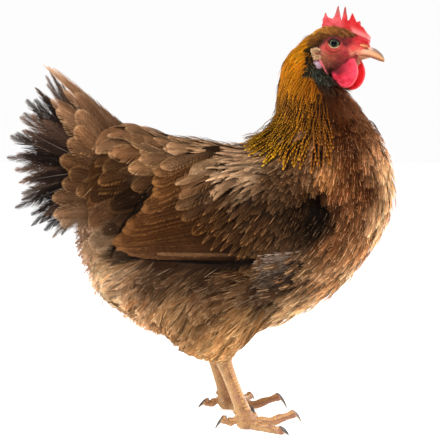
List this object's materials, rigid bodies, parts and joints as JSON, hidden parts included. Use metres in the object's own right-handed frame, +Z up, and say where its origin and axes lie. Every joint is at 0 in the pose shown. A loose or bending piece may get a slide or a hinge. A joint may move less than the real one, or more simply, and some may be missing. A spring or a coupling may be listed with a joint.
{
  "type": "hen, standing",
  "caption": "Life-size brown hen standing on both feet, body side on, head turned slightly, wings folded and tail fanned upright.",
  "frame": {"origin": "on the floor, under the middle of the hen's bounding box", "axes": "+X towards the bill, +Y to the bird's left, +Z up"},
  "size_m": [0.3815, 0.186, 0.4126],
  "materials": {
    "brown_feather": "soft brown feathers, peppered darker, with pale shafts",
    "gold_feather": "narrow golden feathers with a dark centre line",
    "black_feather": "near-black flight feathers with brown edges and a faint green sheen",
    "fluff": "loose downy feathers, matt",
    "red_skin": "soft red skin with fine grain",
    "face_skin": "wrinkled bare skin",
    "pale_skin": "smooth pale skin",
    "beak_horn": "satin horn",
    "scute": "overlapping horny scales",
    "claw_horn": "dark satin horn",
    "eye": "wet, clear over an olive iris"
  },
  "bodies": {
    "root": {"torso": "brown_feather", "neck": "gold_feather", "tail": "black_feather", "head": "face_skin", "comb": "red_skin", "beak_upper": "beak_horn", "beak_lower": "beak_horn", "eye_right": "eye", "wattle_right": "red_skin", "earlobe_right": "pale_skin", "eye_left": "eye", "wattle_left": "red_skin", "earlobe_left": "pale_skin", "wing_right": "brown_feather", "wing_left": "brown_feather", "thigh_right": "fluff", "shank_right": "scute", "toe_right_1": "scute", "claw_right_1": "claw_horn", "toe_right_2": "scute", "claw_right_2": "claw_horn", "toe_right_3": "scute", "claw_right_3": "claw_horn", "toe_right_4": "scute", "claw_right_4": "claw_horn", "thigh_left": "fluff", "shank_left": "scute", "toe_left_1": "scute", "claw_left_1": "claw_horn", "toe_left_2": "scute", "claw_left_2": "claw_horn", "toe_left_3": "scute", "claw_left_3": "claw_horn", "toe_left_4": "scute", "claw_left_4": "claw_horn"}
  },
  "joints": []
}
